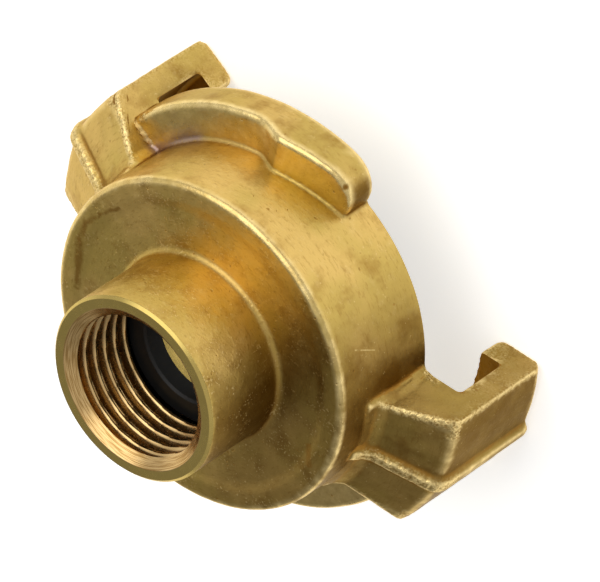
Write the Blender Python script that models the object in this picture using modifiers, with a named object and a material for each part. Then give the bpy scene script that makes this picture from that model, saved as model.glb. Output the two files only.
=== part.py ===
"""Half of a claw coupling for 40 mm lug distance, with a female pipe thread.

A hot-forged brass body carries two hooks and two cam lips, so that two like halves lock
with part of a turn. A moulded rubber seal sits in a groove of the claw face, and a flat
rubber gasket lies at the bottom of the threaded socket. The half stands on the ends of
its hooks, with the socket up and the hooks along X.
"""
import math

import bmesh
import bpy
from mathutils import Matrix, Vector
from mathutils.geometry import tessellate_polygon

MM = 0.001
FIT_GAP = 0.3 * MM
ROUND_STEPS = 72
SHARP_ANGLE = math.radians(30)

# Heights, from the hook ends up
HOOK_TIP_THICKNESS = 4.0 * MM
HOOK_SLOT_HEIGHT = 8.0 * MM
DRUM_HEIGHT = 15.8 * MM
HUB_HEIGHT = 12.2 * MM

# Threaded socket: parallel pipe thread of 20.955 mm, 14 to the inch
THREAD_MAJOR_RADIUS = 10.478 * MM
THREAD_DEPTH = 1.162 * MM
THREAD_LENGTH = 9.2 * MM
COUNTERSINK_DEPTH = 1.4 * MM
COUNTERSINK_MARGIN = 0.17 * MM
RELIEF_DEPTH = 0.15 * MM
RELIEF_HEIGHT = 3.2 * MM
SHOULDER_WIDTH = 2.6 * MM
THROAT_LENGTH = 2.6 * MM
HUB_WALL = 1.77 * MM
HUB_FILLET = 0.8 * MM
RIM_CHAMFER = 0.35 * MM

# Drum with its dished front and the seal's groove
DRUM_RADIUS = 22.0 * MM
DRUM_EDGE_FILLET = 0.8 * MM
DRUM_FOOT_CHAMFER = 0.4 * MM
DISH_DEPTH = 0.45 * MM
DISH_BORDER = 2.5 * MM
DISH_SLOPE = 0.8 * MM
CAVITY_FILLET = 1.4 * MM
GROOVE_WALL = 3.4 * MM
GROOVE_DEPTH = 2.0 * MM
GROOVE_LAND = 1.4 * MM
GROOVE_HEIGHT = 4.2 * MM

# Cam lips, with angles counted from the side of the hook where a lip starts
LIP_WIDTH = 5.0 * MM
LIP_SWEEP = math.radians(82)
LIP_NOSE_RADIUS = 4.2 * MM
LIP_EDGE = 0.7 * MM
LIP_SEAT_THICKNESS = 4.9 * MM
LIP_HUMP_THICKNESS = 6.4 * MM
LIP_NOSE_THICKNESS = 4.4 * MM
LIP_RAMP_START = math.radians(47)
LIP_RAMP_END = math.radians(57)
LIP_STATIONS = 44

# Hooks, forged either side of a parting plane that leaves a rib
HOOK_HALF_WIDTH = 9.4 * MM
HOOK_SPLAY = 0.28
HOOK_CLEARANCE = 0.6 * MM
HOOK_REACH = 3.3 * MM
HOOK_ARM_THICKNESS = 3.8 * MM
HOOK_SIDE_DRAFT = 0.5 * MM
HOOK_FRONT_DRAFT = 0.5 * MM
HOOK_BEND_RISE = 5.2 * MM
HOOK_ROOT_RISE = 9.2 * MM
HOOK_ROOT_FILLET = 1.6 * MM
HOOK_FLARE = 0.8 * MM
HOOK_BEND_RADIUS = 1.6 * MM
HOOK_TIP_EDGE = 0.9 * MM
HOOK_TIP_ROUND = 1.0 * MM
HOOK_SLOT_FILLET = 0.7 * MM
HOOK_SIDE_EDGE = 0.4 * MM
RIB_HEIGHT = 0.75 * MM
RIB_HALF_WIDTH = 0.55 * MM
RIB_FLANK = 0.6 * MM

# Rubber pieces
GASKET_THICKNESS = 2.7 * MM
GASKET_SIDE_GAP = 0.6 * MM
GASKET_OVERHANG = 1.0 * MM
GASKET_EDGE = 0.3 * MM
SEAL_PROTRUSION = 2.0 * MM
SEAL_NECK_WIDTH = 4.6 * MM
SEAL_CROWN = 0.7 * MM
SEAL_COLLAR_WIDTH = 3.8 * MM

# Worked out from the sizes above
CLAW_FACE_Z = HOOK_TIP_THICKNESS + HOOK_SLOT_HEIGHT
DRUM_TOP_Z = CLAW_FACE_Z + DRUM_HEIGHT
MOUTH_Z = DRUM_TOP_Z + HUB_HEIGHT
SHOULDER_Z = MOUTH_Z - COUNTERSINK_DEPTH - THREAD_LENGTH - RELIEF_HEIGHT
CAVITY_ROOF_Z = SHOULDER_Z - THROAT_LENGTH
GROOVE_FLOOR_Z = CLAW_FACE_Z + GROOVE_LAND
GROOVE_ROOF_Z = GROOVE_FLOOR_Z + GROOVE_HEIGHT

HUB_RADIUS = THREAD_MAJOR_RADIUS + HUB_WALL
THREAD_MINOR_RADIUS = THREAD_MAJOR_RADIUS - THREAD_DEPTH
COUNTERSINK_RADIUS = THREAD_MAJOR_RADIUS + COUNTERSINK_MARGIN
RELIEF_RADIUS = THREAD_MAJOR_RADIUS + RELIEF_DEPTH
THROAT_RADIUS = RELIEF_RADIUS - SHOULDER_WIDTH
GROOVE_RADIUS = DRUM_RADIUS - GROOVE_WALL
CAVITY_RADIUS = GROOVE_RADIUS - GROOVE_DEPTH
ROOT_RADIUS = DRUM_RADIUS - GROOVE_WALL / 2
LIP_RADIUS = DRUM_RADIUS + LIP_WIDTH
HOOK_SLOT_RADIUS = LIP_RADIUS + HOOK_CLEARANCE
HOOK_TIP_RADIUS = HOOK_SLOT_RADIUS - HOOK_REACH
HOOK_OUTER_RADIUS = HOOK_SLOT_RADIUS + HOOK_ARM_THICKNESS
LIP_START = math.asin((HOOK_HALF_WIDTH - 2 * HOOK_SIDE_EDGE) / HOOK_SLOT_RADIUS)


def clear_scene():
    """Remove whatever objects the file starts with."""
    for obj in list(bpy.data.objects):
        bpy.data.objects.remove(obj, do_unlink=True)


def make_collection(name):
    """Return a new collection linked to the scene."""
    collection = bpy.data.collections.new(name)
    bpy.context.scene.collection.children.link(collection)
    return collection


def make_material(name, colour, metallic, roughness):
    """Return a Principled material."""
    material = bpy.data.materials.new(name)
    material.use_nodes = True
    shader = material.node_tree.nodes["Principled BSDF"]
    shader.inputs["Base Color"].default_value = (*colour, 1.0)
    shader.inputs["Metallic"].default_value = metallic
    shader.inputs["Roughness"].default_value = roughness
    return material


def make_object(name, mesh, collection, material=None):
    """Link a mesh to a collection as a new object."""
    obj = bpy.data.objects.new(name, mesh)
    collection.objects.link(obj)
    if material:
        mesh.materials.append(material)
    return obj


def arc(centre, radius, start, end, steps=3):
    """Points on an arc in the (radius, height) plane; the angles are in degrees."""
    points = []
    for step in range(steps + 1):
        angle = math.radians(start + (end - start) * step / steps)
        points.append((centre[0] + radius * math.cos(angle), centre[1] + radius * math.sin(angle)))
    return points


def turned(name, outline, collection, material):
    """Turn a closed (radius, height) outline about Z; it runs down its outer side."""
    mesh = bpy.data.meshes.new(name)
    count = len(outline)
    vertices = [(radius, 0.0, height) for radius, height in outline]
    mesh.from_pydata(vertices, [(i, (i + 1) % count) for i in range(count)], [])
    obj = make_object(name, mesh, collection, material)
    screw = obj.modifiers.new("Turn", "SCREW")
    screw.axis = "Z"
    screw.steps = ROUND_STEPS
    screw.render_steps = ROUND_STEPS
    screw.use_merge_vertices = True
    screw.merge_threshold = 0.00001
    return obj


def loft(name, rings, outline, collection):
    """Join closed rings into a form; its bent ends are filled as the flat end outline is."""
    shape = bmesh.new()
    rows = [[shape.verts.new(point) for point in ring] for ring in rings]
    count = len(rows[0])
    for row, following in zip(rows, rows[1:]):
        for i in range(count):
            j = (i + 1) % count
            shape.faces.new((row[i], row[j], following[j], following[i]))
    for row in (rows[0], rows[-1]):
        for corners in tessellate_polygon([[Vector((*point, 0.0)) for point in outline]]):
            shape.faces.new([row[i] for i in corners])
    bmesh.ops.triangulate(shape, faces=shape.faces[:])
    bmesh.ops.recalc_face_normals(shape, faces=shape.faces)
    mesh = bpy.data.meshes.new(name)
    shape.to_mesh(mesh)
    shape.free()
    obj = make_object(name, mesh, collection)
    obj.hide_render = True
    obj.display_type = "WIRE"
    return obj


def shade_smooth(obj):
    """Turn an object's modifiers into its mesh, shaded smooth between its sharp edges."""
    graph = bpy.context.evaluated_depsgraph_get()
    mesh = bpy.data.meshes.new_from_object(obj.evaluated_get(graph))
    obj.modifiers.clear()
    obj.data = mesh
    mesh.shade_smooth()
    mesh.set_sharp_from_angle(angle=SHARP_ANGLE)


def body_outline():
    """The turned body: hub, drum, claw face, groove, cavity, throat and bore."""
    dish_inner = HUB_RADIUS + HUB_FILLET
    dish_outer = DRUM_RADIUS - DISH_BORDER
    dish_z = DRUM_TOP_Z - DISH_DEPTH
    fillet_centre = (dish_inner, dish_z + HUB_FILLET)
    edge_centre = (DRUM_RADIUS - DRUM_EDGE_FILLET, DRUM_TOP_Z - DRUM_EDGE_FILLET)
    roof_centre = (CAVITY_RADIUS - CAVITY_FILLET, CAVITY_ROOF_Z - CAVITY_FILLET)
    return [
        (COUNTERSINK_RADIUS, MOUTH_Z),
        (HUB_RADIUS - RIM_CHAMFER, MOUTH_Z),
        (HUB_RADIUS, MOUTH_Z - RIM_CHAMFER),
        *arc(fillet_centre, HUB_FILLET, 180, 270),
        (dish_outer - DISH_SLOPE, dish_z),
        (dish_outer, DRUM_TOP_Z),
        *arc(edge_centre, DRUM_EDGE_FILLET, 90, 0),
        (DRUM_RADIUS, CLAW_FACE_Z + DRUM_FOOT_CHAMFER),
        (DRUM_RADIUS - DRUM_FOOT_CHAMFER, CLAW_FACE_Z),
        (CAVITY_RADIUS, CLAW_FACE_Z),
        (CAVITY_RADIUS, GROOVE_FLOOR_Z),
        (GROOVE_RADIUS, GROOVE_FLOOR_Z),
        (GROOVE_RADIUS, GROOVE_ROOF_Z),
        (CAVITY_RADIUS, GROOVE_ROOF_Z),
        *arc(roof_centre, CAVITY_FILLET, 0, 90),
        (THROAT_RADIUS, CAVITY_ROOF_Z),
        (THROAT_RADIUS, SHOULDER_Z),
        (RELIEF_RADIUS, SHOULDER_Z),
        (RELIEF_RADIUS, SHOULDER_Z + RELIEF_HEIGHT),
        (THREAD_MINOR_RADIUS, SHOULDER_Z + RELIEF_HEIGHT),
        (THREAD_MINOR_RADIUS, MOUTH_Z - COUNTERSINK_DEPTH),
    ]


def lip_thickness(angle):
    """Thickness of a cam lip: seat, ramp up to the hump, then a fall to the nose."""
    if angle <= LIP_RAMP_START:
        return LIP_SEAT_THICKNESS
    if angle < LIP_RAMP_END:
        share = (angle - LIP_RAMP_START) / (LIP_RAMP_END - LIP_RAMP_START)
        blend = share * share * (3 - 2 * share)
        return LIP_SEAT_THICKNESS + blend * (LIP_HUMP_THICKNESS - LIP_SEAT_THICKNESS)
    share = (angle - LIP_RAMP_END) / (LIP_SWEEP - LIP_RAMP_END)
    return LIP_HUMP_THICKNESS + share * (LIP_NOSE_THICKNESS - LIP_HUMP_THICKNESS)


def lip_radius(angle):
    """Outer radius of a cam lip, round at its nose."""
    circle = LIP_RADIUS - LIP_NOSE_RADIUS
    nose_centre = LIP_SWEEP - math.asin(LIP_NOSE_RADIUS / circle)
    past = max(0.0, angle - nose_centre)
    reach = max(0.0, LIP_NOSE_RADIUS ** 2 - (circle * math.sin(past)) ** 2)
    if past == 0.0:
        return LIP_RADIUS
    return circle * math.cos(past) + math.sqrt(reach)


def lip_outline(angle):
    """Section of a cam lip, from inside the drum's wall to its rounded outer edge."""
    top = CLAW_FACE_Z + lip_thickness(angle)
    radius = lip_radius(angle)
    edge = min(LIP_EDGE, (radius - ROOT_RADIUS) / 2)
    return [
        (ROOT_RADIUS, top),
        *arc((radius - edge, top - edge), edge, 90, 0, 2),
        (radius, CLAW_FACE_Z + edge / 2),
        (radius - edge / 2, CLAW_FACE_Z),
        (ROOT_RADIUS, CLAW_FACE_Z),
    ]


def lip_rings(start):
    """Rings along a cam lip, closer together round its nose."""
    rings = []
    for step in range(LIP_STATIONS + 1):
        angle = LIP_SWEEP * math.sin(step / LIP_STATIONS * math.pi / 2)
        turn = Matrix.Rotation(start - angle, 3, "Z")
        rings.append([turn @ Vector((x, 0.0, z)) for x, z in lip_outline(angle)])
    return rings


def offset_outline(points, distances):
    """Move each point of a closed outline along its own normal."""
    moved = []
    count = len(points)
    for i, (radius, height) in enumerate(points):
        before = points[i - 1]
        after = points[(i + 1) % count]
        along = (after[0] - before[0], after[1] - before[1])
        length = math.hypot(*along)
        normal = (-along[1] / length, along[0] / length)
        moved.append((radius + normal[0] * distances[i], height + normal[1] * distances[i]))
    return moved


def on_circle(radius, spread):
    """Distance along X at which a plane of the hook's fan crosses a circle about Z."""
    slope = spread * HOOK_SPLAY
    offset = spread * HOOK_HALF_WIDTH - slope * HOOK_SLOT_RADIUS
    square = 1 + slope ** 2
    return (math.sqrt(radius ** 2 * square - offset ** 2) - slope * offset) / square


def hook_outline(spread, rib, inset):
    """Section of a hook in one plane of its fan, where spread is 0 in the middle and 1 at the side."""
    outer = on_circle(HOOK_OUTER_RADIUS, spread) - HOOK_SIDE_DRAFT * spread
    drum = on_circle(DRUM_RADIUS, spread)
    root = on_circle(ROOT_RADIUS, spread)
    slot = on_circle(HOOK_SLOT_RADIUS, spread)
    tip = on_circle(HOOK_TIP_RADIUS, spread)
    root_z = CLAW_FACE_Z + HOOK_ROOT_RISE
    bend_z = CLAW_FACE_Z + HOOK_BEND_RISE - HOOK_FRONT_DRAFT * spread
    tilt = math.atan2(root_z - bend_z, outer - drum)
    setback = HOOK_BEND_RADIUS * math.tan((math.pi / 2 - tilt) / 2)
    bend_centre = (outer - HOOK_BEND_RADIUS, bend_z - setback)
    flare_end = drum + HOOK_ROOT_FILLET * math.cos(tilt)
    flare_middle = drum + HOOK_ROOT_FILLET / 4
    forged = [
        (root, root_z + HOOK_ROOT_FILLET),
        (drum, root_z + HOOK_ROOT_FILLET),
        (flare_middle, root_z + HOOK_ROOT_FILLET / 4),
        (flare_end, root_z - HOOK_ROOT_FILLET * math.sin(tilt)),
        *arc(bend_centre, HOOK_BEND_RADIUS, 90 - math.degrees(tilt), 0),
        *arc((outer - HOOK_TIP_EDGE, HOOK_TIP_EDGE), HOOK_TIP_EDGE, 0, -90, 1),
    ]
    machined = [
        *arc((tip + HOOK_TIP_ROUND, HOOK_TIP_ROUND), HOOK_TIP_ROUND, -90, -180, 2),
        (tip, HOOK_TIP_THICKNESS),
        (slot - HOOK_SLOT_FILLET, HOOK_TIP_THICKNESS),
        (slot, HOOK_TIP_THICKNESS + HOOK_SLOT_FILLET),
        (slot, CLAW_FACE_Z - HOOK_SLOT_FILLET),
        (slot - HOOK_SLOT_FILLET, CLAW_FACE_Z),
        (flare_end, CLAW_FACE_Z),
        (flare_middle, CLAW_FACE_Z),
        (drum, CLAW_FACE_Z),
        (root, CLAW_FACE_Z),
    ]
    moves = [rib - inset] * (len(forged) - 1) + [-inset] * (len(machined) + 1)
    moves[0] = 0.0
    moves[-1] = 0.0
    return offset_outline(forged + machined, moves)


def hook_side(x, spread):
    """Distance from the parting plane, with the flare that blends the side into the drum."""
    beside = spread * (HOOK_HALF_WIDTH + HOOK_SPLAY * (x - HOOK_SLOT_RADIUS))
    blend = (on_circle(DRUM_RADIUS, spread) + HOOK_ROOT_FILLET - x) / HOOK_ROOT_FILLET
    return beside + spread * HOOK_FLARE * min(max(blend, 0.0), 1.0) ** 2


def hook_rings(middle):
    """Rings across a hook, with the rib in the middle and eased side edges."""
    rib_foot = RIB_HALF_WIDTH + RIB_FLANK
    side = [
        (RIB_HALF_WIDTH, RIB_HEIGHT, 0.0),
        (rib_foot, 0.0, 0.0),
        ((2 * rib_foot + HOOK_HALF_WIDTH) / 3, 0.0, 0.0),
        ((rib_foot + 2 * HOOK_HALF_WIDTH) / 3, 0.0, 0.0),
        (HOOK_HALF_WIDTH - HOOK_SIDE_EDGE, 0.0, 0.0),
        (HOOK_HALF_WIDTH, 0.0, HOOK_SIDE_EDGE),
    ]
    turn = Matrix.Rotation(middle, 3, "Z")
    rings = []
    for aside, rib, inset in side:
        spread = aside / HOOK_HALF_WIDTH
        outline = hook_outline(spread, rib, inset)
        rings.append([turn @ Vector((x, hook_side(x, spread), z)) for x, z in outline])
        rings.insert(0, [turn @ Vector((x, -hook_side(x, spread), z)) for x, z in outline])
    return rings


def seal_outline():
    """The moulded face seal: collar in the groove, neck and rounded sealing lip."""
    collar_radius = GROOVE_RADIUS - FIT_GAP
    neck_radius = CAVITY_RADIUS - FIT_GAP
    collar_top = GROOVE_ROOF_Z - FIT_GAP
    collar_foot = GROOVE_FLOOR_Z + FIT_GAP
    crown_z = CLAW_FACE_Z - SEAL_PROTRUSION
    bore = neck_radius - SEAL_NECK_WIDTH
    crown_outer = (neck_radius - SEAL_CROWN, crown_z + SEAL_CROWN)
    crown_inner = (bore + SEAL_CROWN, crown_z + SEAL_CROWN)
    collar_inner = collar_radius - SEAL_COLLAR_WIDTH
    return [
        (collar_radius, collar_top),
        (collar_radius, collar_foot),
        (neck_radius, collar_foot),
        *arc(crown_outer, SEAL_CROWN, 0, -90),
        *arc(crown_inner, SEAL_CROWN, -90, -180),
        (bore + SEAL_CROWN, CLAW_FACE_Z + SEAL_CROWN),
        (collar_inner, collar_foot + SEAL_CROWN),
        (collar_inner, collar_top),
    ]


def gasket_outline():
    """The flat gasket that a pipe end presses on the socket's shoulder."""
    outer = RELIEF_RADIUS - GASKET_SIDE_GAP
    bore = THROAT_RADIUS - GASKET_OVERHANG
    foot = SHOULDER_Z + FIT_GAP
    top = foot + GASKET_THICKNESS
    return [
        (outer - GASKET_EDGE, top),
        (outer, top - GASKET_EDGE),
        (outer, foot + GASKET_EDGE),
        (outer - GASKET_EDGE, foot),
        (bore, foot),
        (bore, top - GASKET_EDGE),
        (bore + GASKET_EDGE, top),
    ]


def build_body(parts, cutters, material):
    """Turn the body and join the hooks and cam lips to it."""
    body = turned("coupling_body", body_outline(), parts, material)
    for number, middle in enumerate((0.0, math.pi), start=1):
        hook_end = hook_outline(1.0, 0.0, HOOK_SIDE_EDGE)
        hook = loft(f"hook_form_{number}", hook_rings(middle), hook_end, cutters)
        lip = loft(f"lip_form_{number}", lip_rings(middle - LIP_START), lip_outline(0.0), cutters)
        for form in (hook, lip):
            join = body.modifiers.new(form.name, "BOOLEAN")
            join.operation = "UNION"
            join.solver = "EXACT"
            join.object = form


def main():
    """Build the coupling half."""
    clear_scene()
    parts = make_collection("claw_coupling")
    cutters = make_collection("joined_forms")
    brass = make_material("forged_brass", (0.60, 0.42, 0.15), 1.0, 0.35)
    rubber = make_material("black_rubber", (0.012, 0.012, 0.013), 0.0, 0.55)
    build_body(parts, cutters, brass)
    turned("face_seal", seal_outline(), parts, rubber)
    turned("thread_gasket", gasket_outline(), parts, rubber)
    for obj in parts.objects:
        shade_smooth(obj)


main()
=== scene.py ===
"""Dresses a claw coupling half: forged and machined brass, black rubber, floor, light, camera."""
import math

import bmesh
import bpy
import numpy as np
from mathutils import Matrix, Vector, noise


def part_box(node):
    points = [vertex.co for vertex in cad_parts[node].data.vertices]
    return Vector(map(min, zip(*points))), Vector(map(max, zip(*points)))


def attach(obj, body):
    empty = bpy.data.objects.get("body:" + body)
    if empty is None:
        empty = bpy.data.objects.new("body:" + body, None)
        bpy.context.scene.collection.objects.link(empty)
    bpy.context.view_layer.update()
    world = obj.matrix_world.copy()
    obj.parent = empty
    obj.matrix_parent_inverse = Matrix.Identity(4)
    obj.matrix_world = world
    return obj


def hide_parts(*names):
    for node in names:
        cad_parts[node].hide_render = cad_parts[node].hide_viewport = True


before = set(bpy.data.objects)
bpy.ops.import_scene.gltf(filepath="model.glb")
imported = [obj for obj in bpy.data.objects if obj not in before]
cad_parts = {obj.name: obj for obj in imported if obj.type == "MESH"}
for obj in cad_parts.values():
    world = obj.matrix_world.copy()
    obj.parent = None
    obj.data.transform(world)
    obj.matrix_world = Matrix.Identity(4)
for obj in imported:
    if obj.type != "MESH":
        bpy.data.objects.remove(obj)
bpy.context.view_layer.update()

bl_info = {
    "name": "Claw Coupling Looks",
    "version": (1, 0, 0),
    "blender": (4, 5, 0),
    "location": "3D View > Sidebar > Coupling",
    "description": "Forges, machines and finishes a claw coupling half and sets up its studio",
    "category": "3D View",
}

MM = 0.001
BODY = "coupling_body"
RUBBERS = ("face_seal", "thread_gasket")

HAIR = 0.02 * MM  # how far the mask of a cut face reaches past it
BLANK_COLUMNS = 256
CUTTER_COLUMNS = 200
THREAD_STEPS = 16  # rows of the cutter in one turn of the thread
CREST_FLAT, FLANK = 0.14, 0.72  # parts of half a turn
FILLER_OVERLAP = 0.4 * MM  # how far the fillers reach into the metal round a slot
WEAR_AND_HIGHLIGHT_BULGE = (130, 420)  # convexity per metre at which wear and painted edge highlight start, and over which they grow
PAINTED_CORNER_SHADE_BULGE = (70, 450)  # the same for painted shade in corners and concavity
SHARP_ANGLE = math.radians(38)  # edges that bend more are shaded sharp
FLOOR_GAP = 0.1 * MM
CLIP_START, CLIP_END = 0.05, 50.0
# Masks painted on the skin: wear with painted edge highlight, painted shade in corners, flash
# grain, oxide stain and painted shade on one side
MASKS = ("wear_and_highlight", "painted_corner_shade", "flash", "stain", "painted_side_shade")

# Marks of the forging and of handling, dark strokes and a painted highlight: start, end and width
# in millimetres
PITS = (
    ((-2.6, -26.7, 16.9), (-2.2, -25.5, 16.4), 0.34),
    ((-3.1, -26.2, 16.2), (-3.0, -26.8, 15.6), 0.26),
    ((29.6, -9.2, 16.0), (28.6, -8.8, 17.2), 0.20),
    ((28.4, -9.5, 15.4), (24.6, -8.5, 18.6), 0.10),
    ((23.6, -8.3, 19.6), (22.4, -8.0, 20.4), 0.16),
)
# Dark strokes, most along the border of the dish and one on the hub, painted darker
DARK_STROKES = (
    ((17.4, -7.6, 27.6), (19.2, -4.5, 27.6), 0.30),
    ((19.2, -4.5, 27.6), (20.2, -1.7, 27.6), 0.40),
    ((20.2, -1.7, 27.6), (20.0, 1.2, 27.6), 0.55),
    ((20.0, 1.2, 27.6), (18.5, 4.9, 27.6), 0.60),
    ((18.5, 4.9, 27.6), (17.4, 7.8, 27.6), 0.45),
    ((-9.8, -17.3, 27.6), (-12.2, -16.9, 27.6), 0.28),
    ((-12.2, -16.9, 27.6), (-14.3, -15.8, 27.6), 0.28),
    ((-18.4, -0.8, 27.6), (-19.6, 1.3, 27.6), 0.50),
    ((12.2, -3.4, 30.2), (11.6, -5.2, 33.4), 0.50),
)
# Scratches; the stroke on the hook is a painted highlight along a ridge
SCRATCHES_AND_RIDGE_HIGHLIGHT = (
    ((-16.2, -14.9, 24.1), (-17.2, -13.8, 20.9), 0.09),
    ((-21.5, -8.1, 21.4), (-21.0, -8.4, 13.8), 0.20),
    ((27.3, -8.7, 17.0), (23.4, -7.5, 17.2), 0.22),
)


def length(name, description, millimetres):
    """A length property whose default is given in millimetres."""
    return bpy.props.FloatProperty(
        name=name,
        description=description,
        default=millimetres * MM,
        precision=5,
        subtype="DISTANCE",
        unit="LENGTH",
    )


def angle(name, description, degrees):
    """An angle property whose default is given in degrees."""
    return bpy.props.FloatProperty(
        name=name,
        description=description,
        default=math.radians(degrees),
        subtype="ANGLE",
        unit="ROTATION",
    )


def share(name, description, default):
    """A number between 0 and 1."""
    return bpy.props.FloatProperty(
        name=name, description=description, default=default, min=0.0, max=1.0, subtype="FACTOR"
    )


def colour(name, description, default):
    """A colour property."""
    return bpy.props.FloatVectorProperty(
        name=name,
        description=description,
        default=default,
        min=0.0,
        max=1.0,
        subtype="COLOR",
        size=3,
    )


class ForgingSettings(bpy.types.PropertyGroup):
    """Sizes of the forged outside."""

    drum_radius: length("Drum radius", "Outer radius of the drum", 22.0)
    drum_fillet: length("Drum fillet", "Rounding of the drum's front edge", 0.8)
    drum_foot: length("Claw face", "Height of the claw face", 12.0)
    drum_top: length("Drum top", "Height of the drum's front border", 27.8)
    dish_depth: length("Dish depth", "Depth of the dished front", 0.24)
    dish_border: length("Dish border", "Width of the border round the dish", 2.5)
    dish_slope: length("Dish slope", "Width of the slope into the dish", 1.3)
    hub_radius: length("Hub radius", "Outer radius of the hub", 12.25)
    hub_fillet: length("Hub fillet", "Rounding at the foot of the hub", 0.8)
    core: length("Core radius", "Radius at which the turned blank closes on its axis", 0.5)
    stock: length("Machining stock", "Metal left on faces that a tool cuts", 0.6)
    voxel: length("Voxel", "Grid with which the blank is forged into one skin", 0.25)
    passes: bpy.props.IntProperty(
        name="Smoothing passes",
        description="Passes that round the forged edges",
        default=2,
        min=0,
    )
    kept: share("Kept", "Share of the skin's triangles that stays, mostly at edges", 0.5)
    unevenness: length("Unevenness", "Height of the forging's slow waves", 0.04)
    unevenness_width: length("Unevenness width", "Width of the slow waves", 4.5)
    flash_height: length("Flash height", "Height of the trimmed flash on ribs and edges", 0.06)
    flash_width: length("Flash width", "Grain width of the trimmed flash", 0.6)
    scar_depth: length("Scar depth", "Depth of the scars", 0.16)
    hook_half_width: length("Hook half width", "From a hook's middle to its side, at the slot", 9.4)
    hook_splay: share("Hook splay", "How much the sides of a hook fan out, per length", 0.28)
    hook_flare: length("Hook flare", "How much wider a hook gets at the drum", 0.8)
    side_root: length("Side root", "Distance along a hook at which its side leaves the drum", 20.69)
    side_fillet: length("Side fillet", "Length over which the flare runs out", 1.6)
    side_slack: length("Side slack", "How far a hook's side is trued to its form", 0.8)
    slot_low: length("Slot foot", "Height where the slot of a hook starts", 4.0)
    slot_out: length("Slot depth", "Distance from the axis to the outer wall of the slot", 27.6)
    slot_fillet: length("Slot fillet", "Rounding along the slot's outer wall", 0.7)
    tip_radius: length("Tip radius", "Distance from the axis to the tip of a hook", 24.3)


class MachiningSettings(bpy.types.PropertyGroup):
    """Sizes of the machined bore, thread and cavity."""

    mouth: length("Mouth height", "Height of the faced mouth", 40.0)
    rim_chamfer: length("Rim chamfer", "Chamfer round the mouth", 0.35)
    pitch: length("Thread pitch", "Distance from turn to turn", 1.814)
    major_radius: length("Major radius", "Radius at the roots of the thread", 10.478)
    minor_radius: length("Minor radius", "Radius at the crests of the thread", 9.316)
    thread_foot: length("Thread foot", "Height where the thread starts", 29.4)
    sink_radius: length("Countersink radius", "Radius of the countersink at the mouth", 10.648)
    sink_depth: length("Countersink depth", "Depth of the countersink", 1.05)
    run_out: length("Run-out", "Length of the thread's fade-out under the countersink", 0.45)
    relief_radius: length("Relief radius", "Radius of the relief under the thread", 10.628)
    shoulder: length("Shoulder height", "Height of the gasket's seat", 26.2)
    throat_radius: length("Throat radius", "Radius of the throat", 8.028)
    roof: length("Cavity roof", "Height of the cavity's roof", 23.6)
    cavity_radius: length("Cavity radius", "Radius of the cavity", 16.6)
    cavity_fillet: length("Cavity fillet", "Rounding of the cavity's roof", 1.4)
    groove_radius: length("Groove radius", "Radius of the seal's groove", 18.6)
    groove_foot: length("Groove foot", "Height of the groove's lower wall", 13.4)
    groove_roof: length("Groove roof", "Height of the groove's upper wall", 17.6)


class FinishSettings(bpy.types.PropertyGroup):
    """Colours and roughness of the brass and the rubber."""

    brass: colour("Brass", "Colour of the forged skin", (0.68, 0.465, 0.145))
    sheen: colour("Sheen", "Tint of the brass where it is seen at a slant", (0.92, 0.82, 0.64))
    # Paints convex edges and lip tops lighter: partly wear, partly painted highlight
    wear_and_highlight: colour("Worn brass", "Colour of rubbed edges", (0.89, 0.69, 0.31))
    olive: colour("Olive brass", "Colour of the duller patches", (0.515, 0.378, 0.092))
    # Also the painted shade in corners, slots and thread roots
    deep: colour("Deep brass", "Colour in hollows and corners", (0.30, 0.15, 0.025))
    cut: colour("Cut brass", "Colour of machined faces", (0.57, 0.43, 0.13))
    threaded: colour("Threaded brass", "Colour of the cut thread", (0.72, 0.49, 0.23))
    oxide: colour("Oxide", "Purple oxide left by the forging heat", (0.34, 0.24, 0.24))
    # Painted shade: this colour and share darken the side turned to -x and the claws
    side_shade_colour: colour("Tarnished brass", "Colour of the tarnished side", (0.145, 0.074, 0.012))
    painted_side_shade: share("Tarnish", "Darkening of the side that has tarnished", 1.0)
    forged_roughness: share("Forged roughness", "Roughness of the forged skin", 0.36)
    cut_roughness: share("Cut roughness", "Roughness of machined faces", 0.24)
    rubber: colour("Rubber", "Colour of the rubber", (0.008, 0.008, 0.008))
    rubber_roughness: share("Rubber roughness", "Roughness of the rubber", 0.46)
    rubber_shine: share("Rubber shine", "Level of the rubber's reflections", 0.3)


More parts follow.
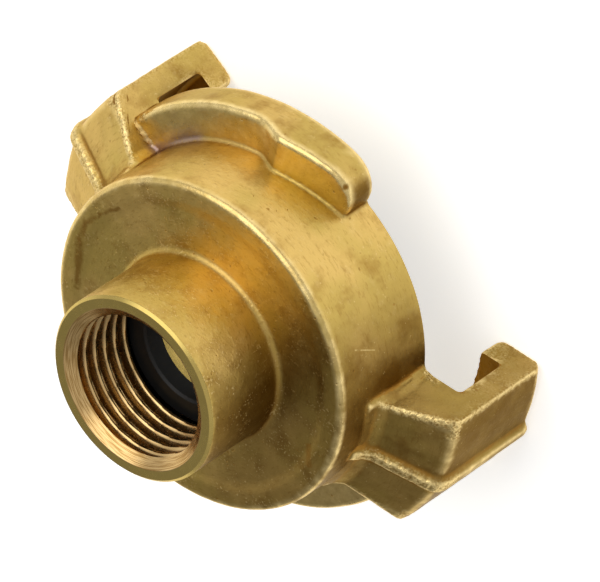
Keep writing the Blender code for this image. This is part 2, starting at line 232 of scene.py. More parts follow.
class StudioSettings(bpy.types.PropertyGroup):
    """Camera, floor and light."""

    distance: length("Distance", "Distance from the mouth to the camera", 1000.0)
    lens: bpy.props.FloatProperty(
        name="Lens",
        description="Focal length of the camera",
        default=507.4,
        subtype="DISTANCE_CAMERA",
    )
    tilt: angle("Tilt", "Angle between the bore's axis and the line of sight", 49.38)
    roll: angle("Roll", "Direction in the picture in which the mouth points away", 33.51)
    turn: angle("Turn", "Angle of the nearest side from the middle of a hook", -18.5)
    shift_right: length("Shift right", "How far the mouth lies left of the middle", 19.88)
    shift_up: length("Shift up", "How far the mouth lies below the middle", 11.70)
    floor_size: length("Floor size", "Side of the floor", 4000.0)
    floor_paint: colour("Floor paint", "Colour of the floor", (0.9, 0.9, 0.9))
    floor_glow: share("Floor glow", "Part of the floor's white that no shadow darkens", 0.54)
    light: colour("Light", "Colour of the light", (1.0, 0.985, 0.95))
    room: share("Room", "Level of the room", 0.64)
    window: bpy.props.FloatProperty(
        name="Window", description="Level that the window adds", default=1.35, min=0.0
    )
    window_turn: angle("Window turn", "Direction of the window about the vertical", -55)
    window_rise: angle("Window rise", "Height of the window over the horizon", 50)
    window_width: angle("Window width", "Half the width of the window", 14)
    dark: share("Dark", "Level that the dark doorway takes from the room", 0.34)
    dark_turn: angle("Dark turn", "Direction of the doorway about the vertical", 101)
    dark_rise: angle("Dark rise", "Height of the doorway over the horizon", 42)
    dark_width: angle("Dark width", "Half the width of the doorway", 25)
    side: share("Side window", "Level that the low side window adds", 0.45)
    side_turn: angle("Side turn", "Direction of the side window about the vertical", 40)
    side_rise: angle("Side rise", "Height of the side window over the horizon", 6)
    side_width: angle("Side width", "Half the width of the side window", 12)
    soft_edge: angle("Soft edge", "Width over which an opening fades into the room", 26)


class Number:
    """A number in a shader; Python's operators on it add Math nodes."""

    def __init__(self, nodes, socket):
        self.nodes = nodes
        self.socket = socket

    def math(self, operation, *others):
        """Add a Math node on this number and others."""
        values = dict(enumerate((self, *others)))
        return self.nodes.number("ShaderNodeMath", {"operation": operation}, values)

    def __add__(self, other):
        return self.math("ADD", other)

    def __sub__(self, other):
        return self.math("SUBTRACT", other)

    def __mul__(self, other):
        return self.math("MULTIPLY", other)

    def __pow__(self, other):
        return self.math("POWER", other)

    def __rsub__(self, other):
        values = {0: other, 1: self}
        return self.nodes.number("ShaderNodeMath", {"operation": "SUBTRACT"}, values)

    __radd__ = __add__
    __rmul__ = __mul__

    def between(self, low, high):
        """Rise smoothly from 0 at low to 1 at high."""
        settings = {"interpolation_type": "SMOOTHSTEP"}
        values = {"Value": self, "From Min": low, "From Max": high}
        return self.nodes.number("ShaderNodeMapRange", settings, values, "Result")


class Nodes:
    """Adds nodes to one shader tree."""

    def __init__(self, tree):
        self.tree = tree
        self.tree.nodes.clear()

    def put(self, socket, value):
        """Give a socket a link or a value."""
        value = getattr(value, "socket", value)
        if isinstance(value, bpy.types.NodeSocket):
            self.tree.links.new(value, socket)
        elif socket.type == "RGBA":
            socket.default_value = (*value, 1.0)
        else:
            socket.default_value = value

    def add(self, kind, settings=None, values=None):
        """Add a node; its settings come first, then the values of its sockets."""
        node = self.tree.nodes.new(kind)
        for name, value in (settings or {}).items():
            setattr(node, name, value)
        for name, value in (values or {}).items():
            self.put(node.inputs[name], value)
        return node

    def number(self, kind, settings=None, values=None, output=0):
        """Add a node and return one of its outputs as a number."""
        return Number(self, self.add(kind, settings, values).outputs[output])

    def mix(self, factor, first, second):
        """Mix two colours."""
        values = {0: factor, 6: first, 7: second}
        return self.add("ShaderNodeMix", {"data_type": "RGBA"}, values).outputs[2]

    def vector(self, operation, *values):
        """Vector maths on links or triples."""
        values = dict(enumerate(values))
        return self.add("ShaderNodeVectorMath", {"operation": operation}, values).outputs[0]

    def measure(self, operation, *values):
        """Vector maths whose result is a number."""
        settings, values = {"operation": operation}, dict(enumerate(values))
        return self.number("ShaderNodeVectorMath", settings, values, "Value")

    def unrolled(self, bearing, height, radius, reach):
        """A turned place laid flat, where a radian is as long as given in millimetres."""
        values = {"X": bearing * (reach * MM), "Y": height, "Z": radius}
        return self.add("ShaderNodeCombineXYZ", None, values).outputs[0]

    def grain(self, where, width, detail=2.0, roughness=0.5):
        """Noise whose cells are about as wide as given in millimetres."""
        values = {"Vector": where, "Scale": 1.0 / (width * MM)}
        values.update({"Detail": detail, "Roughness": roughness})
        return self.number("ShaderNodeTexNoise", None, values, "Fac")

    def stroke(self, where, start, end, width):
        """1 on a stroke between two places, 0 about a width away; in millimetres."""
        start, end = Vector(start) * MM, Vector(end) * MM
        along = end - start
        away = self.vector("SUBTRACT", where, tuple(start))
        reach = self.measure("DOT_PRODUCT", away, tuple(along / along.length_squared))
        reach = reach.math("MAXIMUM", 0.0).math("MINIMUM", 1.0)
        values = {0: tuple(along), "Scale": reach}
        ahead = self.add("ShaderNodeVectorMath", {"operation": "SCALE"}, values)
        distance = self.measure("LENGTH", self.vector("SUBTRACT", away, ahead.outputs[0]))
        return distance.between(1.4 * width * MM, 0.4 * width * MM)

    def strokes(self, where, places):
        """The strongest of several strokes."""
        total = self.stroke(where, *places[0])
        for place in places[1:]:
            total = total.math("MAXIMUM", self.stroke(where, *place))
        return total

    def mask(self, name):
        """A number painted on the mesh."""
        return self.number("ShaderNodeAttribute", {"attribute_name": name}, None, "Fac")

    def bump(self, height):
        """A normal from a height in millimetres."""
        values = {"Strength": 1.0, "Distance": MM, "Height": height}
        return self.add("ShaderNodeBump", None, values).outputs[0]

    def close(self, kind, values, output="ShaderNodeOutputMaterial"):
        """Add a shader and the tree's output."""
        shader = self.add(kind, None, values)
        self.add(output, None, {"Surface": shader.outputs[0]})


def new_material(name):
    """A node material with its tree emptied."""
    material = bpy.data.materials.new(name)
    material.use_nodes = True
    return material, Nodes(material.node_tree)


def cut_faces(radius, z, forging, machining):
    """1 where a tool has cut: bore, cavity, mouth and claw face."""
    relief, groove = machining.relief_radius, machining.groove_radius
    bore = radius.between(relief + 2 * HAIR, relief + HAIR)
    cavity = radius.between(groove + 2 * HAIR, groove + HAIR)
    cavity = cavity * z.between(machining.roof + 2 * HAIR, machining.roof + HAIR)
    cavity = cavity * z.between(forging.drum_foot, forging.drum_foot + HAIR)
    edge = machining.mouth - machining.rim_chamfer
    mouth = z.between(edge - HAIR, edge)
    foot = forging.drum_foot
    claw_face = z.between(foot + 2 * HAIR, foot + HAIR) * z.between(foot - 2 * HAIR, foot - HAIR)
    claw_face = claw_face * radius.between(forging.slot_out + 2 * HAIR, forging.slot_out + HAIR)
    return bore.math("MAXIMUM", cavity).math("MAXIMUM", mouth).math("MAXIMUM", claw_face)


def slot_faces(radius, z, forging):
    """1 on the faces of the slots in the hooks, where painted shade goes."""
    slot = radius.between(forging.slot_out + 2 * HAIR, forging.slot_out + HAIR)
    slot = slot * radius.between(forging.drum_radius, forging.drum_radius + HAIR)
    slot = slot * z.between(forging.slot_low - 2 * HAIR, forging.slot_low - HAIR)
    return slot * z.between(forging.drum_foot - HAIR, forging.drum_foot - 2 * HAIR)


def brass_material(finish, forging, machining):
    """Forged brass, with edges painted lighter as wear and as painted highlight, painted shade in
    hollows, slots, thread roots and on one side, flash grain and machined faces.
    """
    material, nodes = new_material("forged_brass")
    where = nodes.add("ShaderNodeTexCoord").outputs["Object"]
    parts = nodes.add("ShaderNodeSeparateXYZ", None, {0: where})
    x, y, z = (Number(nodes, parts.outputs[i]) for i in range(3))
    radius = (x * x + y * y) ** 0.5
    bearing = y.math("ARCTAN2", x)
    around = nodes.unrolled(bearing, z, radius, reach=6)
    turning = nodes.unrolled(bearing, z, radius, reach=0.4)

    cut = cut_faces(radius, z, forging, machining)
    slot = slot_faces(radius, z, forging)
    forged = 1.0 - cut
    wear_and_highlight, painted_corner_shade, flash, stain, painted_side_shade = (nodes.mask(name) for name in MASKS)
    inside = radius.between(machining.sink_radius + 0.1 * MM, machining.sink_radius)
    bore = inside * z.between(machining.shoulder, machining.thread_foot)
    # Roots of the thread, painted darker as painted shade
    groove = radius.between(machining.minor_radius + 0.15 * MM, machining.major_radius)
    sink, fade = machining.mouth - machining.sink_depth, 1.3 * machining.sink_depth
    below_sink = z.between(sink, machining.mouth - fade)

    cloud = nodes.grain(where, width=11, detail=3.0)
    patch = nodes.grain(where, width=4, detail=4.0, roughness=0.6)
    mottle = nodes.grain(where, width=1.3, detail=3.0, roughness=0.65)
    speck = nodes.grain(where, width=0.30, detail=2.0, roughness=0.6)
    streak = nodes.grain(around, width=0.28, detail=3.0, roughness=0.65)
    lines = nodes.grain(turning, width=0.11, detail=1.0)
    # Glints and front glints are painted highlights: small bright specks mixed into the colour
    glint = nodes.grain(where, width=0.42, detail=1.0).between(0.67, 0.75)
    glint = glint * mottle.between(0.46, 0.62)
    pits = nodes.grain(where, width=0.8, detail=1.0).between(0.73, 0.80) * forged
    front_glint = nodes.grain(where, width=0.34, detail=1.0).between(0.60, 0.68)
    front_glint = front_glint * patch.between(0.46, 0.58) * z.between(forging.drum_top - MM, forging.drum_top)

    values = {"Vector": where, "Scale": 1.0 / MM}
    waver = nodes.add("ShaderNodeTexNoise", None, values).outputs["Color"]
    waver = nodes.vector("MULTIPLY_ADD", waver, (0.5 * MM,) * 3, (-0.25 * MM,) * 3)
    shift = nodes.vector("ADD", where, waver)
    pit = nodes.strokes(shift, PITS)
    dark_stroke = nodes.strokes(shift, DARK_STROKES) * mottle.between(0.28, 0.50)
    scratch_and_highlight = nodes.strokes(where, SCRATCHES_AND_RIDGE_HIGHLIGHT) * mottle.between(0.30, 0.48)

    layers = (
        # The forged skin: duller patches, streaks, and painted shade on the side turned to -x and
        # on the claws
        (cloud.between(0.38, 0.62) * 0.7, finish.olive),
        (patch.between(0.47, 0.72) * forged * 0.52, finish.deep),
        (mottle.between(0.52, 0.75) * forged * 0.16, finish.wear_and_highlight),
        (streak.between(0.52, 0.72) * forged * 0.38, finish.deep),
        ((painted_side_shade * (0.7 + patch * 0.6)).between(0.0, 1.2) * finish.painted_side_shade, finish.side_shade_colour),
        # Painted shade in corners, oxide, edges painted lighter as wear and painted highlight, and
        # the grain of the trimmed flash
        ((painted_corner_shade * (0.7 + mottle * 0.6)).between(0.05, 1.0) * 0.9, finish.deep),
        (stain * mottle.between(0.25, 0.5) * 0.85, finish.oxide),
        (wear_and_highlight * (mottle * 1.5 + 0.05), finish.wear_and_highlight),
        (flash * speck.between(0.46, 0.58) * 0.65, finish.wear_and_highlight),
        (flash * speck.between(0.50, 0.38) * 0.7, finish.deep),
        # Small bright and dark marks: painted glints, scratches with one painted ridge highlight,
        # pits and dark strokes
        ((glint * 0.4 + scratch_and_highlight * 0.5 + front_glint * 0.45) * forged * 0.8, finish.wear_and_highlight),
        ((pits * 0.5).math("MAXIMUM", pit * 0.95), finish.deep),
        (dark_stroke * forged * 0.75, finish.deep),
        # Cut faces: slots in painted shade, turned faces, thread with painted shade in its roots,
        # countersink with its tool lines
        (slot * 0.85, finish.deep),
        (cut * 0.85, finish.cut),
        (bore * 0.9, finish.threaded),
        (groove * inside * below_sink * 0.35, finish.deep),
        (inside * (1.0 - below_sink) * lines.between(0.40, 0.62) * 0.7, finish.deep),
    )
    base = finish.brass
    for amount, tint in layers:
        base = nodes.mix(amount, base, tint)

    rough = forged * finish.forged_roughness + cut * finish.cut_roughness
    rough = rough + (mottle - 0.5) * 0.22 + (speck - 0.5) * 0.14 + flash * 0.08 + pit * 0.3
    rough = rough - wear_and_highlight * 0.10 + painted_side_shade * 0.06

    height = (patch * 0.10 + mottle * 0.040 + speck * 0.014 + streak * 0.012) * forged
    height = height + lines * cut * 0.005 + flash * speck * 0.10 - pits * 0.03
    height = height + (glint + front_glint) * forged * 0.012

    values = {
        "Base Color": base,
        "Metallic": 1.0,
        "Specular Tint": finish.sheen,
        "Roughness": rough,
        "Normal": nodes.bump(height),
    }
    nodes.close("ShaderNodeBsdfPrincipled", values)
    return material


def rubber_material(finish):
    """Black moulded rubber with a faint bloom and fine dust."""
    material, nodes = new_material("black_rubber")
    where = nodes.add("ShaderNodeTexCoord").outputs["Object"]
    cloud = nodes.grain(where, width=5)
    speck = nodes.grain(where, width=0.25)
    dust = speck.between(0.62, 0.75) * cloud.between(0.4, 0.7)
    bloom = tuple(channel * 2.6 for channel in finish.rubber)
    values = {
        "Base Color": nodes.mix(cloud.between(0.35, 0.7) * 0.5 + dust * 0.5, finish.rubber, bloom),
        "Roughness": finish.rubber_roughness + (cloud - 0.5) * 0.2 + dust * 0.2,
        "Specular IOR Level": finish.rubber_shine,
        "Normal": nodes.bump(speck * 0.008),
    }
    nodes.close("ShaderNodeBsdfPrincipled", values)
    return material


def floor_material(studio):
    """White floor that keeps shadows soft, and that metal shows too."""
    material, nodes = new_material("studio_floor")
    path = nodes.add("ShaderNodeLightPath")
    kinds = ("Camera", "Glossy", "Transmission")
    camera, glossy, through = (Number(nodes, path.outputs[f"Is {kind} Ray"]) for kind in kinds)
    seen = camera.math("MAXIMUM", glossy).math("MAXIMUM", through)
    paint = nodes.add("ShaderNodeBsdfDiffuse", None, {"Color": studio.floor_paint})
    values = {"Color": (1.0, 1.0, 1.0), "Strength": seen * studio.floor_glow}
    white = nodes.add("ShaderNodeEmission", None, values)
    nodes.close("ShaderNodeAddShader", {0: paint.outputs[0], 1: white.outputs[0]})
    return material


def ramp(values, start, width):
    """0 up to the start, and rising from there to 1 over the width."""
    return np.clip((values - start) / width, 0, 1)


def bell(values, middle, width):
    """1 at the middle, fading to 0 about two widths away."""
    return np.exp(-(((values - middle) / width) ** 2))


def arc(centre, radius, start, end, steps=6):
    """Points on an arc in the (radius, height) plane; the angles are in degrees."""
    angles = np.radians(np.linspace(start, end, steps + 1))
    return [(centre[0] + radius * math.cos(a), centre[1] + radius * math.sin(a)) for a in angles]


def new_solid(name, points, faces):
    """Add an object with a mesh of these points and faces."""
    mesh = bpy.data.meshes.new(name)
    mesh.from_pydata(points, [], faces)
    obj = bpy.data.objects.new(name, mesh)
    bpy.context.scene.collection.objects.link(obj)
    return obj


def turned_solid(name, rows):
    """A closed solid of rings; each row holds the radius at every column, and its height."""
    radii = np.array([row[0] for row in rows])
    heights = np.array([row[1] for row in rows])
    count, columns = radii.shape
    angles = np.linspace(0, 2 * math.pi, columns, endpoint=False)
    heights = np.repeat(heights[:, None], columns, 1)
    points = np.stack([radii * np.cos(angles), radii * np.sin(angles), heights], axis=2)
    faces = []
    for row in range(count - 1):
        low, high = row * columns, (row + 1) * columns
        for i in range(columns):
            j = (i + 1) % columns
            faces.append((low + i, low + j, high + j, high + i))
    faces.append(tuple(range(columns))[::-1])
    faces.append(tuple(range((count - 1) * columns, count * columns)))
    return new_solid(name, points.reshape(-1, 3).tolist(), faces)


def prism(name, plan, low, high):
    """A closed upright solid over a plan whose corners run clockwise."""
    count = len(plan)
    points = [(x, y, z) for z in (low, high) for x, y in plan]
    faces = [(i, count + i, count + (i + 1) % count, (i + 1) % count) for i in range(count)]
    faces += [tuple(range(count)), tuple(range(count, 2 * count))[::-1]]
    return new_solid(name, points, faces)


def even_rows(outline, columns):
    """Rows of a plain turned shape."""
    return [(np.full(columns, radius), height) for radius, height in outline]


def blank_rows(forging, machining):
    """The turned part of the blank, without its bore, with stock at the mouth and claw face."""
    foot, top = forging.drum_foot - forging.stock, forging.drum_top
    dish = top - forging.dish_depth
    dish_outer = forging.drum_radius - forging.dish_border
    hub_foot = (forging.hub_radius + forging.hub_fillet, dish + forging.hub_fillet)
    edge = (forging.drum_radius - forging.drum_fillet, top - forging.drum_fillet)
    outline = [
        (forging.core, foot),
        (forging.drum_radius, foot),
        *arc(edge, forging.drum_fillet, 0, 90),
        (dish_outer, top),
        (dish_outer - forging.dish_slope, dish),
        *arc(hub_foot, forging.hub_fillet, 270, 180),
        (forging.hub_radius, machining.mouth + forging.stock),
        (forging.core, machining.mouth + forging.stock),
    ]
    return even_rows(outline, BLANK_COLUMNS)


def thread_rows(machining):
    """Rows of the thread and countersink, from the relief up to the mouth."""
    angles = np.linspace(0, 2 * math.pi, CUTTER_COLUMNS, endpoint=False)
    count = int((machining.mouth - machining.thread_foot) / (machining.pitch / THREAD_STEPS))
    depth = machining.major_radius - machining.minor_radius
    flare = machining.sink_radius - machining.minor_radius
    sink = machining.mouth - machining.sink_depth
    rows = []
    for i in range(count):
        height = machining.thread_foot + (machining.mouth - machining.thread_foot) * i / count
        turn = (height / machining.pitch - angles / (2 * math.pi)) % 1.0
        rise = ramp(np.abs(2 * turn - 1), CREST_FLAT, FLANK)
        rise = rise * rise * (3 - 2 * rise) * ramp(sink - height, 0, machining.run_out)
        thread = machining.minor_radius + depth * rise
        cone = machining.minor_radius + flare * max(0.0, (height - sink) / machining.sink_depth)
        rows.append((np.maximum(thread, cone), height))
    return rows


def cutter_rows(forging, machining):
    """The path of every tool as one turned solid, from the hooks' slots up to the rim chamfer."""
    fillet = machining.cavity_fillet
    roof = (machining.cavity_radius - fillet, machining.roof - fillet)
    slot = forging.slot_out - forging.slot_fillet
    below = [
        *arc((slot, forging.slot_low + forging.slot_fillet), forging.slot_fillet, -90, 0),
        *arc((slot, forging.drum_foot - forging.slot_fillet), forging.slot_fillet, 0, 90),
        (machining.cavity_radius, forging.drum_foot),
        (machining.cavity_radius, machining.groove_foot),
        (machining.groove_radius, machining.groove_foot),
        (machining.groove_radius, machining.groove_roof),
        (machining.cavity_radius, machining.groove_roof),
        *arc(roof, fillet, 0, 90),
        (machining.throat_radius, machining.roof),
        (machining.throat_radius, machining.shoulder),
        (machining.relief_radius, machining.shoulder),
        (machining.relief_radius, machining.thread_foot),
    ]
    wide = forging.hub_radius + 2 * machining.rim_chamfer
    above = [
        (machining.sink_radius, machining.mouth),
        (forging.hub_radius - machining.rim_chamfer, machining.mouth),
        (wide, machining.mouth - 3 * machining.rim_chamfer),
        (wide, machining.mouth + 2 * forging.stock),
    ]
    below, above = (even_rows(outline, CUTTER_COLUMNS) for outline in (below, above))
    return below + thread_rows(machining) + above


def settle(obj):
    """Turn an object's modifiers into its mesh."""
    graph = bpy.context.evaluated_depsgraph_get()
    mesh = bpy.data.meshes.new_from_object(obj.evaluated_get(graph))
    obj.modifiers.clear()
    obj.data = mesh


def side_plane(forging, outward):
    """Distance from a hook's middle to its side, at a distance along the hook."""
    return forging.hook_half_width + forging.hook_splay * (outward - forging.slot_out)


def slot_fillers(forging):
    """Metal that fills the slots and squares their roofs until the slots are cut."""
    near, far = forging.tip_radius + FILLER_OVERLAP, forging.slot_out + MM
    root = forging.drum_radius - MM
    corner = near
    for _ in range(20):  # where the tip's arc meets the hook's side
        corner = math.sqrt(near * near - side_plane(forging, corner) ** 2)
    reach = math.atan2(side_plane(forging, corner), corner)
    bow = [(near * math.cos(a), near * math.sin(a)) for a in np.linspace(reach, -reach, 13)]
    outside = [(far, -side_plane(forging, far)), (far, side_plane(forging, far))]
    roof = [(root, side_plane(forging, root)), (root, -side_plane(forging, root))]
    lows = forging.slot_low - FILLER_OVERLAP, forging.drum_foot - forging.stock
    fillers = []
    for side in (1, -1):
        for plan, low in zip((bow, roof), lows):
            turned = [(side * x, side * y) for x, y in plan + outside]
            high = forging.drum_foot + FILLER_OVERLAP
            fillers.append(prism("slot_filler", turned[::-1], low, high))
    return fillers


def forge_blank(forging, machining):
    """Merge the frame's hooks and lips with the turned blank into one forged skin."""
    turned = turned_solid("turned_blank", blank_rows(forging, machining))
    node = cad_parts[BODY]
    blank = bpy.data.objects.new("forged_body", node.data.copy())
    bpy.context.scene.collection.objects.link(blank)
    pieces = [blank, turned, *slot_fillers(forging)]
    with bpy.context.temp_override(active_object=blank, selected_editable_objects=pieces):
        bpy.ops.object.join()
    remesh = blank.modifiers.new("Skin", "REMESH")
    remesh.mode = "VOXEL"
    remesh.voxel_size = forging.voxel
    ease = blank.modifiers.new("Ease", "SMOOTH")
    ease.factor = 0.5
    ease.iterations = forging.passes
    settle(blank)
    roughen(blank.data, forging)
    thin = blank.modifiers.new("Thin", "DECIMATE")
    thin.ratio = forging.kept
    settle(blank)
    return blank


def machine(blank, forging, machining):
    """Cut slots, claw face, cavity, thread and mouth out of the blank."""
    cutter = turned_solid("bore_cutter", cutter_rows(forging, machining))
    cut = blank.modifiers.new("Bore", "BOOLEAN")
    cut.operation = "DIFFERENCE"
    cut.solver = "MANIFOLD"
    cut.object = cutter
    settle(blank)
    bpy.data.objects.remove(cutter)
    dissolve_pairs(blank.data)


def dissolve_pairs(mesh):
    """Dissolve vertices with two edges: triangles on both sides of one would lie on each other."""
    work = bmesh.new()
    work.from_mesh(mesh)
    pairs = [vertex for vertex in work.verts if len(vertex.link_edges) == 2]
    bmesh.ops.dissolve_verts(work, verts=pairs)
    work.to_mesh(mesh)
    work.free()


class Skin:
    """A mesh as arrays: places, normals, edges, and each vertex's place about axis and hooks."""

    def __init__(self, mesh):
        self.mesh = mesh
        count = len(mesh.vertices)
        points, normals = np.zeros(count * 3), np.zeros(count * 3)
        ends = np.zeros(len(mesh.edges) * 2, int)
        mesh.vertices.foreach_get("co", points)
        mesh.vertex_normals.foreach_get("vector", normals)
        mesh.edges.foreach_get("vertices", ends)
        self.points, self.normals = points.reshape(-1, 3), normals.reshape(-1, 3)
        self.ends = ends.reshape(-1, 2)
        self.radius = np.hypot(self.points[:, 0], self.points[:, 1])
        self.height = self.points[:, 2]
        self.angle = np.degrees(np.arctan2(self.points[:, 1], self.points[:, 0]))
        self.side = np.where(self.points[:, 0] < 0, -1.0, 1.0)
        self.outward = self.points[:, 0] * self.side
        self.aside = np.abs(self.points[:, 1])
        self.sideways = np.abs(self.normals[:, 1])

    def zone(self, low=-math.inf, high=math.inf, inner=-math.inf, outer=math.inf, aside=-math.inf):
        """True between heights and radii and past a distance from the hooks' middle, in mm."""
        zone = (self.height > low * MM) & (self.height < high * MM) & (self.aside > aside * MM)
        return zone & (self.radius > inner * MM) & (self.radius < outer * MM)

    def spread(self, values, passes):
        """Blend a number with the mean of its neighbours."""
        for _ in range(passes):
            total, valence = np.zeros(len(values)), np.zeros(len(values))
            for a, b in ((0, 1), (1, 0)):
                np.add.at(total, self.ends[:, a], values[self.ends[:, b]])
                np.add.at(valence, self.ends[:, a], 1.0)
            values = 0.5 * values + 0.5 * total / np.maximum(valence, 1.0)
        return values

    def bulge(self, passes, tiny=1e-12):
        """How convex the skin is at each vertex, per metre, spread over its neighbours."""
        first, second = self.ends.T
        along = self.points[second] - self.points[first]
        turned = self.normals[second] - self.normals[first]
        bend = (along * turned).sum(axis=1) / np.maximum((along * along).sum(axis=1), tiny)
        total, valence = np.zeros(len(self.points)), np.zeros(len(self.points))
        for ends in (first, second):
            np.add.at(total, ends, bend)
            np.add.at(valence, ends, 1.0)
        return self.spread(total / np.maximum(valence, 1.0), passes)

    def field(self, width, octaves, fall=0.8, step=2.0):
        """Fractal noise at each vertex, about -1 to 1."""
        places = self.points / width
        return np.array([noise.fractal(Vector(place), fall, step, octaves) for place in places])

    def stroke(self, start, end, width):
        """1 on a stroke between two places, 0 about two widths away; in millimetres."""
        start, end = np.array(start) * MM, np.array(end) * MM
        along = end - start
        reach = np.clip(((self.points - start) @ along) / (along @ along), 0, 1)
        away = np.linalg.norm(self.points - start - reach[:, None] * along, axis=1)
        return bell(away, 0, width * MM)

    def paint(self, name, values):
        """Store a number from 0 to 1 on each vertex."""
        layer = self.mesh.attributes.new(name, "FLOAT", "POINT")
        layer.data.foreach_set("value", np.clip(values, 0, 1).astype(np.float32))


def wear_highlight_and_shade(skin, machined):
    """How light each vertex is painted on convex edges, as wear and as painted highlight, and how
    deep it lies in a corner, for painted shade.
    """
    bulge = skin.bulge(passes=3)
    hook_side = (skin.sideways > 0.9) & (skin.outward > 19 * MM)
    hub = skin.zone(low=31)
    claw_rim = skin.zone(high=14, outer=22.3)
    front_edge = skin.zone(low=26.6, inner=20.6)
    dish = skin.zone(low=27, outer=21)
    lip = skin.zone(high=20, inner=21.5, aside=9.5)
    # Convex edges painted lighter: partly wear, partly painted highlight
    wear_and_highlight = ramp(bulge, *WEAR_AND_HIGHLIGHT_BULGE) * (1 - machined)
    wear_and_highlight = np.where(hook_side | hub | claw_rim, 0.0, wear_and_highlight)
    broken = np.clip(0.62 + 0.6 * skin.field(2.2 * MM, 3), 0.1, 1)
    wear_and_highlight = wear_and_highlight * np.where(front_edge, broken, 1.0)
    # Corners and concave places painted darker: painted shade
    painted_corner_shade = ramp(-bulge, *PAINTED_CORNER_SHADE_BULGE) * (1 - machined)
    painted_corner_shade = np.where(hook_side | hub, 0.0, np.where(dish | lip, 0.35 * painted_corner_shade, painted_corner_shade))
    return wear_and_highlight, painted_corner_shade


def flash_zone(skin, forging, wear_and_highlight):
    """Where flash was trimmed off the hooks: the rib and the side edges."""
    hook = (skin.outward > 21 * MM) & (skin.aside < 10.6 * MM)
    hook &= skin.radius > forging.drum_radius + 0.6 * MM
    facing = skin.normals[:, 0] * skin.side * 0.5 + skin.normals[:, 2]
    front = np.clip(facing * 3, 0, 1) * skin.zone(low=14)
    rib = np.exp(-((skin.aside / (0.9 * MM)) ** 4)) * (0.12 + 0.88 * front)
    sides = ramp(skin.aside, 6.8 * MM, MM)
    edges = np.clip(skin.spread(wear_and_highlight, 5) * 4.0, 0, 1) * sides * (0.60 + 0.40 * front)
    return np.clip(rib + edges, 0, 1) * hook


def true_sides(points, skin, forging):
    """Move the hooks' sides to their drafted and flared form."""
    outward = skin.outward
    near = ramp(forging.side_root + forging.side_fillet - outward, 0, forging.side_fillet)
    plane = side_plane(forging, outward) + forging.hook_flare * near**2
    true = np.clip(2 - 2 * np.abs(skin.aside - plane) / forging.side_slack, 0, 1)
    true = true * ramp(skin.sideways, 0.70, 0.15)
    true = true * ramp(outward - forging.side_root, 0.3 * MM, 0.6 * MM)
    points[:, 1] += true * (np.sign(points[:, 1]) * plane - points[:, 1])


def roughen(mesh, forging):
    """Give the forged skin its slow waves, its torn flash and its scars, and true the hooks."""
    skin = Skin(mesh)
    wear_and_highlight = wear_highlight_and_shade(skin, 0.0)[0]
    flash = flash_zone(skin, forging, wear_and_highlight)
    move = skin.field(forging.unevenness_width, 2) * forging.unevenness
    move = move + flash * skin.field(forging.flash_width, 3) * forging.flash_height
    move = move - np.max([skin.stroke(*place) for place in PITS], axis=0) * forging.scar_depth
    points = skin.points + skin.normals * move[:, None]
    true_sides(points, skin, forging)
    low, high = (np.array(corner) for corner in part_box(BODY))
    high[2] += forging.stock
    points = np.clip(points, low, high)
    mesh.vertices.foreach_set("co", points.astype(np.float32).ravel())
    mesh.update()


def machined_zone(skin, forging, machining):
    """1 where a tool has cut: bore, cavity and mouth."""
    bore = (skin.radius < machining.relief_radius + HAIR) & (skin.height > machining.roof)
    cavity = (skin.radius < machining.groove_radius + HAIR) & (skin.height < machining.roof + HAIR)
    cavity &= skin.height > forging.drum_foot + HAIR
    rim = skin.height > machining.mouth - machining.rim_chamfer - HAIR
    return (bore | cavity | rim).astype(float)


def lip_tops(skin, forging):
    """1 on the tops of the cam lips, fading at their borders; there the skin is painted lighter."""
    top = skin.zone(low=15, high=19.5, aside=8) & (skin.normals[:, 2] > 0.5)
    top &= skin.radius > forging.drum_radius + MM
    return skin.spread(top.astype(float), 2)


def stain_zone(skin):
    """Where the forging heat left oxide, at the foot of the near cam lip."""
    lip_foot = bell(skin.height, 16.9 * MM, 0.9 * MM) * bell(skin.radius, 22.8 * MM, 1.3 * MM)
    return lip_foot * ramp(skin.angle, -46, 6) * ramp(-skin.angle, 14, 4)


def painted_side_shade_zone(skin, forging):
    """How much painted shade each vertex takes: most on faces turned to -x, some on the claws."""
    turned_away = ramp(-skin.normals[:, 0], 0.40, 0.5)
    drum_side = skin.radius > forging.drum_radius - 0.4 * MM
    low_side = -skin.points[:, 0] / forging.drum_radius - np.where(drum_side, 0.50, 0.12)
    claws = (skin.radius > forging.drum_radius + 1.2 * MM) & (skin.normals[:, 2] < 0.5)
    return np.max([turned_away, 0.66 * ramp(low_side, 0, 0.42), 0.30 * claws], axis=0)


def paint_masks(mesh, forging, machining):
    """Paint on the skin what its finish depends on."""
    skin = Skin(mesh)
    machined = machined_zone(skin, forging, machining)
    wear_and_highlight, painted_corner_shade = wear_highlight_and_shade(skin, machined)
    torn = np.clip(0.75 + skin.field(forging.flash_width, 3), 0, 1)
    flash = flash_zone(skin, forging, wear_and_highlight) * torn
    # The lip tops are painted lighter with the colour of the edges
    wear_and_highlight = np.maximum(wear_and_highlight, 0.45 * lip_tops(skin, forging))
    # Painted shade on the side turned to -x and on the claws
    painted_side_shade = skin.spread(painted_side_shade_zone(skin, forging) * (1 - machined), 4)
    for name, values in zip(MASKS, (wear_and_highlight, painted_corner_shade, flash, stain_zone(skin), painted_side_shade)):
        skin.paint(name, values)


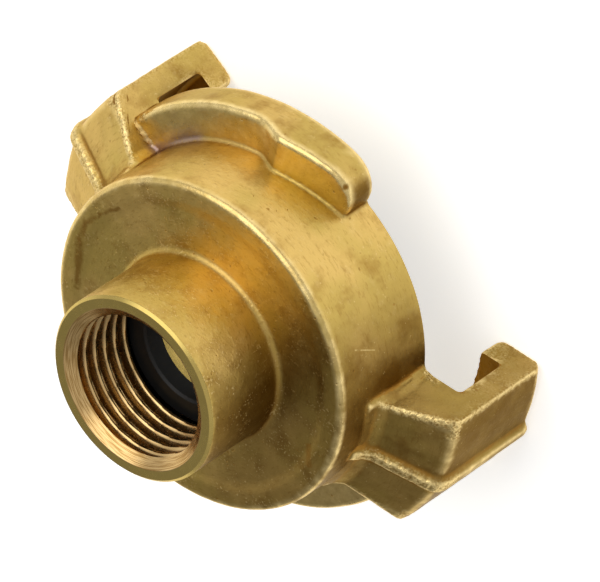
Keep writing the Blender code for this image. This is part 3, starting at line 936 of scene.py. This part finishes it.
class COUPLING_OT_body(bpy.types.Operator):
    """Forge, machine and finish the brass body"""

    bl_idname = "coupling.body"
    bl_label = "Brass Body"

    def execute(self, context):
        scene = context.scene
        forging, machining = scene.coupling_forging, scene.coupling_machining
        body = forge_blank(forging, machining)
        machine(body, forging, machining)
        mesh = body.data
        paint_masks(mesh, forging, machining)
        mesh.shade_smooth()
        mesh.set_sharp_from_angle(angle=SHARP_ANGLE)
        mesh.materials.clear()
        mesh.materials.append(brass_material(scene.coupling_finish, forging, machining))
        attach(body, "root")
        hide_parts(BODY)
        return {"FINISHED"}


class COUPLING_OT_rubber(bpy.types.Operator):
    """Give the face seal and the thread gasket their rubber"""

    bl_idname = "coupling.rubber"
    bl_label = "Rubber Rings"

    def execute(self, context):
        rubber = rubber_material(context.scene.coupling_finish)
        for name in RUBBERS:
            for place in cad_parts[name].material_slots:
                place.material = rubber
        return {"FINISHED"}


class COUPLING_OT_stage(bpy.types.Operator):
    """Set up the floor, the light and the camera"""

    bl_idname = "coupling.stage"
    bl_label = "Studio"

    def execute(self, context):
        scene = context.scene
        studio = scene.coupling_studio
        self.add_floor(studio)
        self.add_light(scene, studio)
        self.add_camera(scene, studio)
        scene.view_settings.view_transform = "Standard"
        return {"FINISHED"}

    def add_floor(self, studio):
        """A plain white floor just under the hooks."""
        half = studio.floor_size / 2
        corners = [(-half, -half, 0), (half, -half, 0), (half, half, 0), (-half, half, 0)]
        floor = new_solid("floor", corners, [(0, 1, 2, 3)])
        floor.data.materials.append(floor_material(studio))
        floor.location.z = -FLOOR_GAP

    def add_light(self, scene, studio):
        """A soft room with two windows and a dark doorway that the drum's front shows."""
        world = bpy.data.worlds.new("studio_light")
        scene.world = world
        world.use_nodes = True
        nodes = Nodes(world.node_tree)
        direction = nodes.add("ShaderNodeTexCoord").outputs["Generated"]
        places = (
            (studio.window_turn, studio.window_rise, studio.window_width),
            (studio.side_turn, studio.side_rise, studio.side_width),
            (studio.dark_turn, studio.dark_rise, studio.dark_width),
        )
        window, side, doorway = (
            self.opening(nodes, direction, *place, studio.soft_edge) for place in places
        )
        level = studio.room + window * studio.window + side * studio.side - doorway * studio.dark
        values = {"Color": studio.light, "Strength": level}
        nodes.close("ShaderNodeBackground", values, "ShaderNodeOutputWorld")

    def opening(self, nodes, direction, turn, rise, width, edge):
        """1 in a round part of the room, fading to 0 over its soft edge."""
        level = math.cos(rise)
        middle = (level * math.cos(turn), level * math.sin(turn), math.sin(rise))
        facing = nodes.measure("DOT_PRODUCT", direction, middle)
        return facing.between(math.cos(width + edge), math.cos(width))

    def add_camera(self, scene, studio):
        """A camera at the photograph's viewing angle."""
        cos_tilt, sin_tilt = math.cos(studio.tilt), math.sin(studio.tilt)
        cos_roll, sin_roll = math.cos(studio.roll), math.sin(studio.roll)
        side = Vector((math.cos(studio.turn), math.sin(studio.turn), 0))
        near = Vector((math.sin(studio.turn), -math.cos(studio.turn), 0))
        axis = Vector((0, 0, 1))
        level = cos_tilt * near - sin_tilt * axis
        right = cos_roll * level - sin_roll * side
        up = sin_roll * level + cos_roll * side
        back = sin_tilt * near + cos_tilt * axis
        place = scene.coupling_machining.mouth * axis
        place = place + studio.shift_right * right + studio.shift_up * up + studio.distance * back
        data = bpy.data.cameras.new("camera")
        data.lens = studio.lens
        data.clip_start, data.clip_end = CLIP_START, CLIP_END
        camera = bpy.data.objects.new("camera", data)
        scene.collection.objects.link(camera)
        axes = Matrix((right, up, back)).transposed()
        camera.matrix_world = Matrix.Translation(place) @ axes.to_4x4()
        scene.camera = camera


class COUPLING_PT_looks(bpy.types.Panel):
    """Lists the steps that dress the coupling"""

    bl_idname = "COUPLING_PT_looks"
    bl_label = "Claw Coupling"
    bl_space_type = "VIEW_3D"
    bl_region_type = "UI"
    bl_category = "Coupling"

    def draw(self, context):
        for operator in OPERATORS:
            self.layout.operator(operator.bl_idname)


OPERATORS = (COUPLING_OT_body, COUPLING_OT_rubber, COUPLING_OT_stage)
SETTINGS = {
    "coupling_forging": ForgingSettings,
    "coupling_machining": MachiningSettings,
    "coupling_finish": FinishSettings,
    "coupling_studio": StudioSettings,
}


def register():
    """Register the settings, the operators and the panel."""
    for name, group in SETTINGS.items():
        bpy.utils.register_class(group)
        setattr(bpy.types.Scene, name, bpy.props.PointerProperty(type=group))
    for kind in (*OPERATORS, COUPLING_PT_looks):
        bpy.utils.register_class(kind)


def unregister():
    """Take everything back that register adds."""
    for kind in (COUPLING_PT_looks, *reversed(OPERATORS)):
        bpy.utils.unregister_class(kind)
    for name, group in SETTINGS.items():
        delattr(bpy.types.Scene, name)
        bpy.utils.unregister_class(group)


def main():
    """Dress the coupling."""
    register()
    bpy.ops.coupling.body()
    bpy.ops.coupling.rubber()
    bpy.ops.coupling.stage()


if __name__ == "__main__":
    main()
